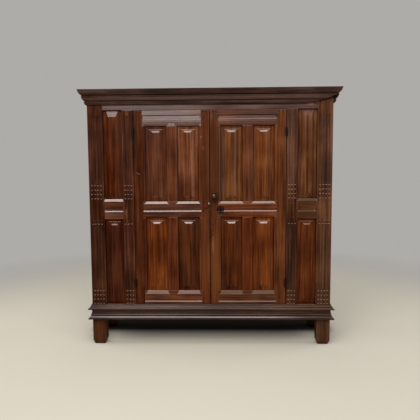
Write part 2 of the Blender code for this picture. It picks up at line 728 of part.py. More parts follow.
def cornice_section():
    """Three swelling slopes, parted by quirks, under a square fillet."""
    quirk = [(-CORNICE_QUIRK_IN, CORNICE_QUIRK_HEIGHT / 2), (CORNICE_QUIRK_OUT, CORNICE_QUIRK_HEIGHT / 2)]
    members = (
        (CORNICE_LOWER_OUT, CORNICE_LOWER_HEIGHT),
        (CORNICE_MIDDLE_OUT, CORNICE_MIDDLE_HEIGHT),
        (CORNICE_CROWN_OUT, CORNICE_CROWN_HEIGHT),
    )
    points = [(CLEARANCE, 0.0), (CORNICE_START, 0.0)]
    for i, (out, height) in enumerate(members):
        if i:
            points = points[:-1] + walk(points[-1], quirk)
        points += swelling_slope(points[-1], out, height)
    points = points[:-1] + walk(points[-1], [(CORNICE_FILLET_OUT, 0.0), (0.0, CORNICE_FILLET_HEIGHT)])
    return [*points, (CLEARANCE, CORNICE_HEIGHT)]


def toe_section(bottom, out, root, height, bead_radius, bead_out):
    """Square nose, hollow sweep, quirk and bead, from a level up."""
    nose_top = bottom + BASE_NOSE_HEIGHT
    sweep = arc((out, nose_top + height), (out - root, height), 270, 180, MOULDING_STEPS)
    bead_middle = nose_top + height + BASE_QUIRK + bead_radius
    bead = arc((bead_out, bead_middle), (bead_radius, bead_radius), -90, 90, MOULDING_STEPS)
    return [(out, bottom), *sweep, *bead]


def base_section():
    """Two swept toes with a leaning flat between them, and a plain strip on top."""
    lower = toe_section(0.0, BASE_LOWER_OUT, BASE_LOWER_ROOT, BASE_LOWER_HEIGHT, BASE_LOWER_BEAD,
                        BASE_LOWER_ROOT)
    flat_top = lower[-1][1] + BASE_FLAT_HEIGHT
    upper = toe_section(flat_top + BASE_UNDERCUT_HEIGHT, BASE_UPPER_OUT, BASE_UPPER_ROOT, BASE_UPPER_HEIGHT,
                        BASE_UPPER_BEAD, BASE_UPPER_ROOT - BASE_UPPER_BEAD)
    strip = (BASE_UPPER_ROOT - BASE_UPPER_BEAD, BASE_HEIGHT)
    return [(CLEARANCE, 0.0), *lower, (BASE_FLAT_OUT, flat_top), *upper, strip, (CLEARANCE, BASE_HEIGHT)]


def run_moulding(name, section, bottom):
    """Front length mitred at both ends, and a return down each side."""
    front = [[(end * (HALF + out), FRONT - out, bottom + rise) for out, rise in section]
             for end in (-1, 1)]
    pieces = {"front": add_part(f"{name}_front", loft(front), moulding_oak)}
    for side, sign in SIDES.items():
        near = [(sign * (HALF + out), FRONT - out + CLEARANCE, bottom + rise) for out, rise in section]
        far = [(x, BACK, z) for x, y, z in near]
        pieces[side] = add_part(f"{name}_{side}_return", loft([near, far]), moulding_oak)
    return pieces


cornice_bottom = CASE_TOP - CORNICE_HEIGHT
cornice = run_moulding("cornice", cornice_section(), cornice_bottom)
run_moulding("base", base_section(), FOOT_HEIGHT)

wear_line = [(HALF - inward, cornice_bottom + up) for inward, up in CORNICE_WEAR]
wear_outline = [*wear_line, (HALF + CORNICE_OUT, wear_line[-1][1]),
                (HALF + CORNICE_OUT, cornice_bottom - CORNICE_OUT),
                (wear_line[0][0], cornice_bottom - CORNICE_OUT)]
wear = extrude([(x, FRONT - 2 * CORNICE_OUT, z) for x, z in wear_outline], (0.0, 3 * CORNICE_OUT, 0.0))
cut(add_tool("cornice_wear", wear), cornice["front"])


# Doors

def add_axis(name, sign):
    """Empty on a door's hinge axis, level with the door's lower edge."""
    axis = bpy.data.objects.new(name, None)
    axis.location = (sign * HINGE_AXIS_X, HINGE_AXIS_Y, DOOR_BOTTOM)
    part_collection.objects.link(axis)
    return axis


def add_door(side, sign):
    """One framed door: two stiles, three rails, two muntins and four fielded panels."""
    axis = add_axis(f"{side}_door_axis", sign)
    ys = (FRONT, FRONT + DOOR_THICKNESS)
    stile_zs = (DOOR_BOTTOM, DOOR_TOP)
    meeting = add_part(f"{side}_door_meeting_stile",
                       box((sign * DOOR_INNER, sign * STILE_EDGE), ys, stile_zs), frame_oak, axis)
    hinge = add_part(f"{side}_door_hinge_stile",
                     box((sign * HINGE_STILE_EDGE, sign * DOOR_OUTER), ys, stile_zs), frame_oak, axis)

    rail_xs = (sign * RAIL_INNER, sign * RAIL_OUTER)
    rail_sizes = (
        ("bottom", DOOR_BOTTOM, BOTTOM_RAIL, BOTTOM_SLOPE_START, SLOPE),
        ("mid", LOWER_TOP, MID_RAIL, MID_SLOPE_START, SLOPE),
        ("top", UPPER_TOP, TOP_RAIL, BAND_START, BAND),
    )
    rails = {}
    for level, bottom, height, start, moves in rail_sizes:
        rail = worked_rail(f"{side}_door_{level}_rail", rail_xs, bottom, height, DOOR_THICKNESS, start, moves,
                           frame_oak, axis)
        zs = (bottom, bottom + height)
        shoulder = box(rail_xs, wider(ys), wider(zs))
        cut(add_tool(f"{rail.name}_shoulder", shoulder), meeting, hinge)
        side_tenon(rail, meeting, sign * RAIL_INNER, -sign, zs, DOOR_TENON, DOOR_THICKNESS)
        side_tenon(rail, hinge, sign * RAIL_OUTER, sign, zs, DOOR_TENON, DOOR_THICKNESS)
        rails[level] = rail

    tiers = (
        ("lower", (LOWER_BOTTOM, LOWER_TOP), rails["bottom"], rails["mid"], BOTTOM_SILL),
        ("upper", (UPPER_BOTTOM, UPPER_TOP), rails["mid"], rails["top"], MID_SILL),
    )
    muntin_xs = (sign * MUNTIN_INNER, sign * MUNTIN_OUTER)
    for level, zs, below, above, sill in tiers:
        muntin_body = box(muntin_xs, ys, wider(zs, -CLEARANCE))
        muntin = add_part(f"{side}_door_{level}_muntin", muntin_body, frame_oak, axis)
        end_tenon(muntin, below, zs[0], -1, muntin_xs, DOOR_TENON, DOOR_THICKNESS)
        end_tenon(muntin, above, zs[1], 1, muntin_xs, DOOR_TENON, DOOR_THICKNESS)
        openings = (
            ("inner", (sign * STILE_EDGE, sign * MUNTIN_INNER), meeting),
            ("outer", (sign * MUNTIN_OUTER, sign * HINGE_STILE_EDGE), hinge),
        )
        for place, xs, stile in openings:
            name = f"{side}_door_{level}_{place}_panel"
            members = (stile, muntin, below, above)
            mould_opening(name, xs, zs, members, DOOR_SIDE_MOULD, DOOR_TOP_MOULD, sill)
            groove_opening(name, xs, zs, members)
            fielded_panel(name, xs, zs, DOOR_FIELD, axis)
    return {"axis": axis, "meeting": meeting, "hinge": hinge, "rails": rails}


doors = {side: add_door(side, sign) for side, sign in SIDES.items()}


# Hinges: the jamb half has the pin and stands below, the door half drops over it

def knuckle_profile(height, finial_up):
    """Knuckle with a small turned finial at its outer end, listed from the top down."""
    half = height / 2
    finial = [(0.0, half + HINGE_FINIAL), (FINIAL_RADIUS, half + HINGE_FINIAL / 2), (FINIAL_NECK, half)]
    barrel = [(KNUCKLE_RADIUS, half - CLEARANCE), (KNUCKLE_RADIUS, -half), (0.0, -half)]
    profile = finial + barrel
    if finial_up:
        return profile
    return [(radius, -level) for radius, level in reversed(profile)]


def add_hinge(side, sign, level, bottom):
    """Lift-off hinge with its leaves let into the door's edge and the jamb's edge."""
    half_height = (HINGE_LENGTH - 2 * CLEARANCE) / 2
    axis_x = sign * HINGE_AXIS_X
    lower_middle = bottom + half_height / 2
    upper_middle = bottom + HINGE_LENGTH - half_height / 2
    door = doors[side]
    jamb_half = add_turned(f"{side}_{level}_hinge_jamb_half", knuckle_profile(half_height, False),
                           black_iron, (axis_x, HINGE_AXIS_Y, lower_middle))
    door_half = add_turned(f"{side}_{level}_hinge_door_half", knuckle_profile(half_height, True),
                           black_iron, (axis_x, HINGE_AXIS_Y, upper_middle), carrier=door["axis"])
    leaf_ys = (HINGE_AXIS_Y, FRONT + LEAF_WIDTH)
    leaves = (
        (jamb_half, jambs[side], (sign * JAMB_INNER, sign * (JAMB_INNER + LEAF_THICKNESS)),
         (bottom, bottom + half_height)),
        (door_half, door["hinge"], (sign * (DOOR_OUTER - LEAF_THICKNESS), sign * DOOR_OUTER),
         (bottom + HINGE_LENGTH - half_height, bottom + HINGE_LENGTH)),
    )
    for half, wood, xs, zs in leaves:
        inner_zs = wider(zs, -LEAF_INSET)
        combine(half, add_tool(f"{half.name}_leaf", box(xs, leaf_ys, inner_zs)), "UNION")
        seat = box(wider(xs), wider(leaf_ys), wider(inner_zs))
        cut(add_tool(f"{half.name}_leaf_seat", seat), wood)
    pin_bottom = lower_middle
    pin_top = upper_middle + half_height / 4
    pin = rod(axis_x, HINGE_AXIS_Y, (pin_bottom + pin_top) / 2, PIN_RADIUS, pin_top - pin_bottom)
    combine(jamb_half, add_tool(f"{jamb_half.name}_pin", pin), "UNION")
    bore_top = pin_top + CLEARANCE
    bore = rod(axis_x, HINGE_AXIS_Y, (pin_bottom + bore_top) / 2, PIN_RADIUS + CLEARANCE,
               bore_top - pin_bottom)
    cut(add_tool(f"{door_half.name}_bore", bore), door_half)


for side, sign in SIDES.items():
    add_hinge(side, sign, "lower", DOOR_BOTTOM + HINGE_INSET)
    add_hinge(side, sign, "upper", DOOR_TOP - HINGE_INSET - HINGE_LENGTH)


# Rim lock, escutcheon and knob on the right door

right_axis = doors["right"]["axis"]
door_back = FRONT + DOOR_THICKNESS
lock_x = DOOR_INNER + LOCK_INSET
lock_ys = (door_back + CLEARANCE, door_back + CLEARANCE + LOCK_THICKNESS)
lock_zs = (KEYHOLE_Z - LOCK_HEIGHT / 2, KEYHOLE_Z + LOCK_HEIGHT / 2)
lock_case = add_part("lock_case", box((lock_x, lock_x + LOCK_WIDTH), lock_ys, lock_zs), black_iron,
                     right_axis)
bolt_middle = (lock_ys[0] + lock_ys[1]) / 2
bolt_ys = (bolt_middle - BOLT_THICKNESS / 2, bolt_middle + BOLT_THICKNESS / 2)
bolt_zs = (KEYHOLE_Z + BOLT_RISE - BOLT_HEIGHT / 2, KEYHOLE_Z + BOLT_RISE + BOLT_HEIGHT / 2)
bolt_xs = (lock_x + CLEARANCE, lock_x + CLEARANCE + BOLT_LENGTH)
add_part("lock_bolt", box(bolt_xs, bolt_ys, bolt_zs), bright_iron, right_axis)
channel = box((lock_x - LOCK_INSET, bolt_xs[1] + CLEARANCE), wider(bolt_ys), wider(bolt_zs))
cut(add_tool("bolt_channel", channel), lock_case)

plate_near = FRONT - CLEARANCE - ESCUTCHEON_THICKNESS
escutcheon = add_part(
    "escutcheon",
    rod(KEYHOLE_X, plate_near + ESCUTCHEON_THICKNESS / 2, KEYHOLE_Z, ESCUTCHEON_RADIUS,
        ESCUTCHEON_THICKNESS, ALONG_Y), black_iron, right_axis)
for turn in range(PIERCINGS):
    angle = 2 * math.pi * (turn + 0.5) / PIERCINGS
    piercing = rod(KEYHOLE_X + PIERCING_CIRCLE * math.cos(angle), plate_near,
                   KEYHOLE_Z + PIERCING_CIRCLE * math.sin(angle), PIERCING_RADIUS,
                   4 * ESCUTCHEON_THICKNESS, ALONG_Y)
    cut(add_tool(f"escutcheon_piercing_{turn}", piercing), escutcheon)

keyhole_arc = arc((KEYHOLE_X, KEYHOLE_Z), (KEYHOLE_RADIUS, KEYHOLE_RADIUS), -60, 240, ROUND_SIDES // 2)
slot_half = KEYHOLE_RADIUS / 2
keyhole_outline = [*keyhole_arc, (KEYHOLE_X - slot_half, KEYHOLE_Z - KEYHOLE_SLOT),
                   (KEYHOLE_X + slot_half, KEYHOLE_Z - KEYHOLE_SLOT)]
keyhole_length = DOOR_THICKNESS + LOCK_THICKNESS
keyhole = extrude([(x, plate_near - ESCUTCHEON_THICKNESS, z) for x, z in keyhole_outline],
                  (0.0, keyhole_length, 0.0))
cut(add_tool("keyhole", keyhole), escutcheon, doors["right"]["rails"]["mid"], lock_case)

knob_x = DOOR_INNER + KNOB_INSET
knob_z = UPPER_BOTTOM + KNOB_RISE
ball_half = KNOB_BALL_DEPTH / 2
ball = arc((0.0, KNOB_OUT - ball_half), (KNOB_RADIUS, ball_half), 90, -45, KNOB_STEPS)
knob_profile = [*ball, (KNOB_NECK, KNOB_NECK_OUT), (KNOB_COLLAR, KNOB_COLLAR_OUT), (KNOB_COLLAR, CLEARANCE),
                (KNOB_SHANK, CLEARANCE), (KNOB_SHANK, -KNOB_SHANK_LENGTH), (0.0, -KNOB_SHANK_LENGTH)]
add_turned("knob", knob_profile, turned_oak, (knob_x, FRONT, knob_z), (math.pi / 2, 0.0, 0.0), right_axis)
shank_bore = rod(knob_x, FRONT + KNOB_SHANK_LENGTH / 2, knob_z, KNOB_SHANK + CLEARANCE,
                 KNOB_SHANK_LENGTH + 2 * CLEARANCE, ALONG_Y)
cut(add_tool("knob_bore", shank_bore), doors["right"]["meeting"])

for item in part_collection.objects:
    if item.type == "MESH":
        item.data.set_sharp_from_angle(angle=math.radians(35))
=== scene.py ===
"""Looks of a joined oak housekeeper's cupboard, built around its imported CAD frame.

Metres, +Z up, front towards -Y. The CAD pieces keep their shapes. This script gives each of them its
timber or iron, eases their edges, adds the ends of the oak pegs, and draws the nails of the back.
"""
import math
import random

import bmesh
import bpy
from mathutils import Matrix, Vector


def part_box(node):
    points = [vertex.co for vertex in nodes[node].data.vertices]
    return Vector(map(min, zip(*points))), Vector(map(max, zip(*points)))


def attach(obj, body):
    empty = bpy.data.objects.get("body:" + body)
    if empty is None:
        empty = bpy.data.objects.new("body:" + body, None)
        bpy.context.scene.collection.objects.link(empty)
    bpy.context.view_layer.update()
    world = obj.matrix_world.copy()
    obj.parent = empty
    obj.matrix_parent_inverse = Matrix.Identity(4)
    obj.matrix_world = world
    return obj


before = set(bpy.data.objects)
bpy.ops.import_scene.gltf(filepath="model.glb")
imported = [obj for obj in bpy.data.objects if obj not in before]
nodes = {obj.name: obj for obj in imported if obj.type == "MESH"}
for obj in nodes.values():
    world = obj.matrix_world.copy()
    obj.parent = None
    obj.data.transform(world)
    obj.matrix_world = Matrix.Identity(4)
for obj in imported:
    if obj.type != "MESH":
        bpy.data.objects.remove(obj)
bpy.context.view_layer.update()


# Camera
# It stands three metres in front of the doors, slightly to the right and at chest height, and looks
# a few degrees down. The lens is a little wider than normal.
door_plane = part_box("frieze_rail")[0].y
camera_place = Vector((0.075, door_plane - 3.002, 1.220))
camera_yaw = math.radians(1.42)
camera_pitch = math.radians(4.67)
camera_roll = math.radians(-0.36)
camera = bpy.data.objects.new("camera", bpy.data.cameras.new("camera"))
camera.data.sensor_width = 36.0
camera.data.lens = 36.6
looking = Matrix.Rotation(camera_yaw, 3, "Z") @ Matrix.Rotation(math.pi / 2 - camera_pitch, 3, "X")
looking = looking @ Matrix.Rotation(camera_roll, 3, "Z")
camera.matrix_world = Matrix.Translation(camera_place) @ looking.to_4x4()
bpy.context.scene.collection.objects.link(camera)
bpy.context.scene.camera = camera
bpy.context.scene.view_settings.view_transform = "Standard"


# Floor and light
# A pale studio floor, with a soft shadow painted into its colour under and behind the cupboard. Soft lamps
# hang in front of and above the cupboard, a little to the left, so that every sill and bevel catches them,
# and weaker lamps fill the sides and the back.
def make_material(name):
    """Node material, with its tree and its Principled shader."""
    material = bpy.data.materials.new(name)
    material.use_nodes = True
    tree = material.node_tree
    return material, tree, tree.nodes["Principled BSDF"]


def add_node(tree, kind, values=None, **settings):
    """Shader node with its settings, its socket values, and links where a value is a socket."""
    node = tree.nodes.new(f"ShaderNode{kind}")
    for key, value in settings.items():
        setattr(node, key, value)
    for key, value in (values or {}).items():
        if isinstance(value, bpy.types.NodeSocket):
            tree.links.new(value, node.inputs[key])
        else:
            node.inputs[key].default_value = value
    return node


floor_half = 30.0
floor_mesh = bpy.data.meshes.new("floor")
floor_mesh.from_pydata(
    [(-floor_half, -floor_half, 0), (floor_half, -floor_half, 0), (floor_half, floor_half, 0),
     (-floor_half, floor_half, 0)], [], [(0, 1, 2, 3)])
floor = bpy.data.objects.new("floor", floor_mesh)
bpy.context.scene.collection.objects.link(floor)
floor_finish, tree, shader = make_material("pale_floor")
speckle = add_node(tree, "TexNoise", {"Scale": 6.0, "Detail": 4.0})
floor_tint = add_node(tree, "ValToRGB", {"Fac": speckle.outputs["Fac"]})
floor_tint.color_ramp.elements[0].color = (0.60, 0.55, 0.45, 1.0)
floor_tint.color_ramp.elements[1].color = (0.70, 0.65, 0.54, 1.0)
# Painted shadow: the floor's colour darkens inside a box under and behind the cupboard and fades out round
# it.
shadow_middle = (0.0, 0.25, 0.0)
shadow_half = (0.86, 0.13, 0.0)
shadow_fall_off = 0.13
shadow_least = 0.03
floor_place = add_node(tree, "TexCoord").outputs["Object"]
from_middle = add_node(tree, "VectorMath", {0: floor_place, 1: shadow_middle}, operation="SUBTRACT")
reach = add_node(tree, "VectorMath", {0: from_middle.outputs[0]}, operation="ABSOLUTE")
beyond = add_node(tree, "VectorMath", {0: reach.outputs[0], 1: shadow_half}, operation="SUBTRACT")
outside = add_node(tree, "VectorMath", {0: beyond.outputs[0], 1: (0.0, 0.0, 0.0)}, operation="MAXIMUM")
from_shadow = add_node(tree, "VectorMath", {0: outside.outputs[0]}, operation="LENGTH")
shade = add_node(tree, "MapRange", {0: from_shadow.outputs["Value"], 1: 0.0, 2: shadow_fall_off,
                                    3: shadow_least, 4: 1.0}, interpolation_type="SMOOTHSTEP")
shaded = add_node(tree, "VectorMath", {0: floor_tint.outputs["Color"], 3: shade.outputs[0]},
                  operation="SCALE")
tree.links.new(shaded.outputs[0], shader.inputs["Base Color"])
shader.inputs["Roughness"].default_value = 0.8
shader.inputs["Specular IOR Level"].default_value = 0.0
backdrop_tint = (0.42, 0.41, 0.39, 1.0)
fade_start = 1.5
fade_end = 4.2
far_floor = add_node(tree, "Emission", {"Color": backdrop_tint, "Strength": 1.0})
distance = add_node(tree, "VectorMath", {0: floor_place}, operation="LENGTH")
far = add_node(tree, "MapRange", {0: distance.outputs["Value"], 1: fade_start, 2: fade_end},
               interpolation_type="SMOOTHSTEP")
floor_ray = add_node(tree, "LightPath")
floor_seen = add_node(tree, "Math", {0: floor_ray.outputs["Is Camera Ray"],
                                     1: floor_ray.outputs["Is Glossy Ray"]}, operation="MAXIMUM")
fade = add_node(tree, "Math", {0: far.outputs[0], 1: floor_seen.outputs[0]}, operation="MULTIPLY")
faded = add_node(tree, "MixShader", {0: fade.outputs[0], 1: shader.outputs[0], 2: far_floor.outputs[0]})
tree.links.new(faded.outputs[0], tree.nodes["Material Output"].inputs["Surface"])
floor_mesh.materials.append(floor_finish)

world = bpy.data.worlds.new("studio")
bpy.context.scene.world = world
world.use_nodes = True
tree = world.node_tree
room = tree.nodes["Background"]
room.inputs["Color"].default_value = (0.96, 0.98, 1.0, 1.0)
room.inputs["Strength"].default_value = 0.16
backdrop = add_node(tree, "Background", {"Color": backdrop_tint, "Strength": 1.0})
ray = add_node(tree, "LightPath")
seen = add_node(tree, "Math", {0: ray.outputs["Is Camera Ray"], 1: ray.outputs["Is Glossy Ray"]},
                operation="MAXIMUM")
seen_through = add_node(tree, "Math", {0: seen.outputs[0], 1: ray.outputs["Is Transmission Ray"]},
                        operation="MAXIMUM")
chooser = add_node(tree, "MixShader", {0: seen_through.outputs[0], 1: room.outputs[0],
                                       2: backdrop.outputs[0]})
tree.links.new(chooser.outputs[0], tree.nodes["World Output"].inputs["Surface"])


def hang_lamp(name, place, target, width, height, watts, tint=(1.0, 1.0, 1.0)):
    """Rectangular soft lamp that faces a point."""
    lamp = bpy.data.lights.new(name, "AREA")
    lamp.shape = "RECTANGLE"
    lamp.size = width
    lamp.size_y = height
    lamp.energy = watts
    lamp.color = tint
    item = bpy.data.objects.new(name, lamp)
    item.location = place
    item.rotation_euler = (Vector(target) - Vector(place)).to_track_quat("-Z", "Y").to_euler()
    bpy.context.scene.collection.objects.link(item)


cool_white = (0.88, 0.93, 1.0)
hang_lamp("front_lamp", (-0.45, -3.0, 3.6), (-0.25, -0.2, 0.9), 3.4, 2.0, 118.0)
hang_lamp("top_lamp", (-0.40, -1.0, 3.4), (-0.30, -0.2, 1.0), 2.6, 0.7, 26.0)
hang_lamp("low_lamp", (-0.95, -3.8, 2.05), (-0.2, -0.2, 0.9), 1.5, 0.7, 9.0)
hang_lamp("right_front_lamp", (3.0, -2.7, 1.4), (0.0, -0.2, 1.0), 1.2, 1.8, 17.0, cool_white)
hang_lamp("left_lamp", (-3.2, 0.2, 2.2), (0.0, 0.0, 0.9), 1.6, 1.6, 34.0)
hang_lamp("right_lamp", (3.2, 0.4, 2.2), (0.0, 0.0, 0.9), 1.6, 1.6, 34.0)
hang_lamp("back_lamp", (0.0, 3.0, 1.4), (0.0, 0.2, 0.9), 2.6, 1.2, 24.0)


# Front posts
# Two oak posts run from the cornice to the floor as feet. Their faces are fluted, with rows of short
# gouge cuts. Old wax dirt and painted shade darken the hollows, and wear and painted highlight lighten the
# ridges.
# Pale colour of worn edges, which also serves as a painted highlight along the arrises.
worn_and_highlit_edge = (0.24, 0.13, 0.085)
# Pale dusty colour, which on up-facing slopes also serves as a painted highlight.
dust_and_highlight_tint = (0.34, 0.23, 0.17)
# Pale grey-violet colour of wax bloom, which also serves as a painted sheen.
wax_bloom_and_sheen = (0.105, 0.066, 0.058)
bare_oak = (0.150, 0.088, 0.050)


def waxed_oak(name, deep, body, light, along="Z", polish=1.0, dust_and_highlight=0.3, grime_and_shade=(0.3, 0.3), boards=None,
              bare=0.75, face_wax=0.02, marks=()):
    """Old waxed oak: streaked grain along one axis under a haze of wax bloom and painted sheen, dirt and
    painted shade in hollows, edges lightened by wear and painted highlight, and polished slopes.

    Grime and shade is the share of the colour left in fine hollows and in wide ones, darkened for dirt and as
    painted shade. Dust and highlight is how far up-facing slopes go towards a pale dusty colour that is also
    a painted highlight. Boards are an axis and a width, and give each board along that axis a figure and a
    shade of its own, with dirt in the joints. Bare is how far the faces turned into the cupboard go towards
    unwaxed timber. Face wax is the polish on flat faces, beside that on slopes. Marks are soft patches on the
    front, each with its place in X and Z, half its width, half its height, a colour and a strength.
    """
    material, tree, shader = make_material(name)
    coordinates = add_node(tree, "TexCoord")
    place = coordinates.outputs["Object"]
    facing = add_node(tree, "SeparateXYZ", {0: coordinates.outputs["Normal"]})
    figure = add_node(tree, "Attribute", attribute_type="OBJECT", attribute_name="figure")
    spot = add_node(tree, "VectorMath", {0: place, 1: figure.outputs["Vector"]}, operation="ADD")
    if boards:
        board_axis, board_width = boards
        across = add_node(tree, "SeparateXYZ", {0: place}).outputs[board_axis]
        counted = add_node(tree, "Math", {0: across, 1: board_width}, operation="DIVIDE")
        number = add_node(tree, "Math", {0: counted.outputs[0]}, operation="FLOOR")
        cast = add_node(tree, "TexWhiteNoise", {"W": number.outputs[0]}, noise_dimensions="1D")
        shift = add_node(tree, "VectorMath", {0: cast.outputs["Color"], 3: 9.0}, operation="SCALE")
        spot = add_node(tree, "VectorMath", {0: spot.outputs[0], 1: shift.outputs[0]}, operation="ADD")

    def grain(across_per_m, along_per_m, detail):
        scale = [across_per_m] * 3
        scale["XYZ".index(along)] = along_per_m
        drawn = add_node(tree, "Mapping", {"Vector": spot.outputs[0], "Scale": scale})
        return add_node(tree, "TexNoise", {"Vector": drawn.outputs[0], "Scale": 1.0, "Detail": detail,
                                           "Roughness": 0.6}).outputs["Fac"]

    bands = grain(30.0, 1.5, 3.0)
    streaks = grain(85.0, 3.2, 4.0)
    pores = grain(520.0, 22.0, 2.0)
    veil = grain(11.0, 0.8, 2.0)
    clouds = add_node(tree, "TexNoise", {"Vector": spot.outputs[0], "Scale": 5.0,
                                         "Detail": 3.0}).outputs["Fac"]
    drawn_grain = add_node(tree, "Mix", {0: 0.66, 2: bands, 3: streaks})
    blend = add_node(tree, "Mix", {0: 0.28, 2: drawn_grain.outputs[0], 3: clouds})
    timber = add_node(tree, "ValToRGB", {"Fac": blend.outputs[0]})
    stops = timber.color_ramp.elements
    stops.new(0.5)
    for stop, position, tint in zip(stops, (0.405, 0.50, 0.60), (deep, body, light)):
        stop.position = position
        stop.color = (*tint, 1.0)
    # Broad patches of the grain go towards the pale grey-violet haze: wax bloom and a painted sheen.
    hazy = add_node(tree, "MapRange", {0: veil, 1: 0.52, 2: 0.72, 3: 0.0, 4: 0.22})
    veiled = add_node(tree, "Mix", {0: hazy.outputs[0], 6: timber.outputs["Color"], 7: (*wax_bloom_and_sheen, 1.0)},
                      data_type="RGBA")
    tone = add_node(tree, "Attribute", attribute_type="OBJECT", attribute_name="tone")
    colour = add_node(tree, "VectorMath", {0: veiled.outputs[2], 1: tone.outputs["Vector"]},
                      operation="MULTIPLY").outputs[0]
    if boards:
        board_shade = add_node(tree, "MapRange", {0: cast.outputs["Value"], 3: 0.75, 4: 1.2})
        from_joint = add_node(tree, "Math", {0: across, 1: board_width / 2}, operation="PINGPONG")
        joint_dirt = add_node(tree, "MapRange", {0: from_joint.outputs[0], 1: 0.0015, 2: 0.0055,
                                                 3: 0.15, 4: 1.0})
        dirty_shade = add_node(tree, "Math", {0: board_shade.outputs[0], 1: joint_dirt.outputs[0]},
                               operation="MULTIPLY")
        colour = add_node(tree, "VectorMath", {0: colour, 3: dirty_shade.outputs[0]},
                          operation="SCALE").outputs[0]

    ragged = add_node(tree, "TexNoise", {"Vector": place, "Scale": 70.0, "Detail": 2.0})
    streaky = add_node(tree, "MapRange", {0: streaks, 1: 0.38, 2: 0.60, 3: 0.55, 4: 1.0})
    inward = add_node(tree, "MapRange", {0: facing.outputs["Y"], 1: 0.3, 2: 0.5, 3: 0.0, 4: bare})
    bare_streaks = add_node(tree, "VectorMath", {0: bare_oak, 3: streaky.outputs[0]}, operation="SCALE")
    colour = add_node(tree, "Mix", {0: inward.outputs[0], 6: colour, 7: bare_streaks.outputs[0]},
                      data_type="RGBA").outputs[2]
    outward = add_node(tree, "MapRange", {0: facing.outputs["Y"], 1: 0.5, 2: 0.3})
    shown = add_node(tree, "Math", {0: streaky.outputs[0], 1: outward.outputs[0]}, operation="MULTIPLY")
    for x, z, half_width, half_height, tint, strength in marks:
        inside = add_node(tree, "Mapping", {"Vector": place,
                                            "Location": (-x / half_width, 0.0, -z / half_height),
                                            "Scale": (1 / half_width, 0.0, 1 / half_height)})
        reach = add_node(tree, "VectorMath", {0: inside.outputs[0]}, operation="LENGTH")
        frayed = add_node(tree, "Math", {0: reach.outputs["Value"], 1: ragged.outputs["Fac"]},
                          operation="ADD")
        cover = add_node(tree, "MapRange", {0: frayed.outputs[0], 1: 1.5, 2: 0.9, 3: 0.0, 4: strength})
        thin = add_node(tree, "Math", {0: cover.outputs[0], 1: shown.outputs[0]}, operation="MULTIPLY")
        colour = add_node(tree, "Mix", {0: thin.outputs[0], 6: colour, 7: (*tint, 1.0)},
                          data_type="RGBA").outputs[2]

    # Painted shade: ambient occlusion darkens the colour in fine and wide hollows, for dark wax dirt and for
    # the shade that falls there.
    hollow = add_node(tree, "AmbientOcclusion", {"Distance": 0.012}, samples=6)
    nook = add_node(tree, "AmbientOcclusion", {"Distance": 0.04}, samples=6)
    fine_dirt_and_shade = add_node(tree, "MapRange", {0: hollow.outputs["AO"], 1: 0.35, 2: 0.92, 3: grime_and_shade[0], 4: 1.0})
    wide_dirt_and_shade = add_node(tree, "MapRange", {0: nook.outputs["AO"], 1: 0.25, 2: 0.85, 3: grime_and_shade[1], 4: 1.0})
    dirt_and_shade_share = add_node(tree, "Math", {0: fine_dirt_and_shade.outputs[0], 1: wide_dirt_and_shade.outputs[0]},
                         operation="MULTIPLY")
    dirtied_and_shaded = add_node(tree, "VectorMath", {0: colour, 3: dirt_and_shade_share.outputs[0]}, operation="SCALE")

    normal = add_node(tree, "NewGeometry").outputs["Normal"]
    # Edges away from hollows go towards a pale colour: wear, and a painted highlight along the arrises.
    eased = add_node(tree, "Bevel", {"Radius": 0.003}, samples=6)
    turn = add_node(tree, "VectorMath", {0: normal, 1: eased.outputs[0]}, operation="DOT_PRODUCT")
    edge = add_node(tree, "MapRange", {0: turn.outputs["Value"], 1: 0.985, 2: 0.86, 3: 0.0, 4: 0.7})
    open_edge = add_node(tree, "MapRange", {0: nook.outputs["AO"], 1: 0.70, 2: 0.95})
    rubbed = add_node(tree, "Math", {0: edge.outputs[0], 1: open_edge.outputs[0]}, operation="MULTIPLY")
    patchy = add_node(tree, "Math", {0: rubbed.outputs[0], 1: clouds}, operation="MULTIPLY")
    worn_and_highlit_wood = add_node(tree, "Mix", {0: patchy.outputs[0], 6: dirtied_and_shaded.outputs[0], 7: (*worn_and_highlit_edge, 1.0)},
                           data_type="RGBA")

    rise = add_node(tree, "SeparateXYZ", {0: normal})
    slope = add_node(tree, "MapRange", {0: rise.outputs["Z"], 1: 0.09, 2: 0.25})
    ledge = add_node(tree, "MapRange", {0: rise.outputs["Z"], 1: 0.55, 2: 0.85, 3: 1.0, 4: 0.25})
    # Up-facing slopes go towards the pale colour: dusty wood, and a painted highlight where the light from
    # above falls.
    steep = add_node(tree, "MapRange", {0: rise.outputs["Z"], 1: 0.12, 2: 0.36, 3: 0.0, 4: dust_and_highlight})
    dusted_and_highlit_wood = add_node(tree, "Mix", {0: steep.outputs[0], 6: worn_and_highlit_wood.outputs[2], 7: (*dust_and_highlight_tint, 1.0)},
                          data_type="RGBA")
    tree.links.new(dusted_and_highlit_wood.outputs[2], shader.inputs["Base Color"])

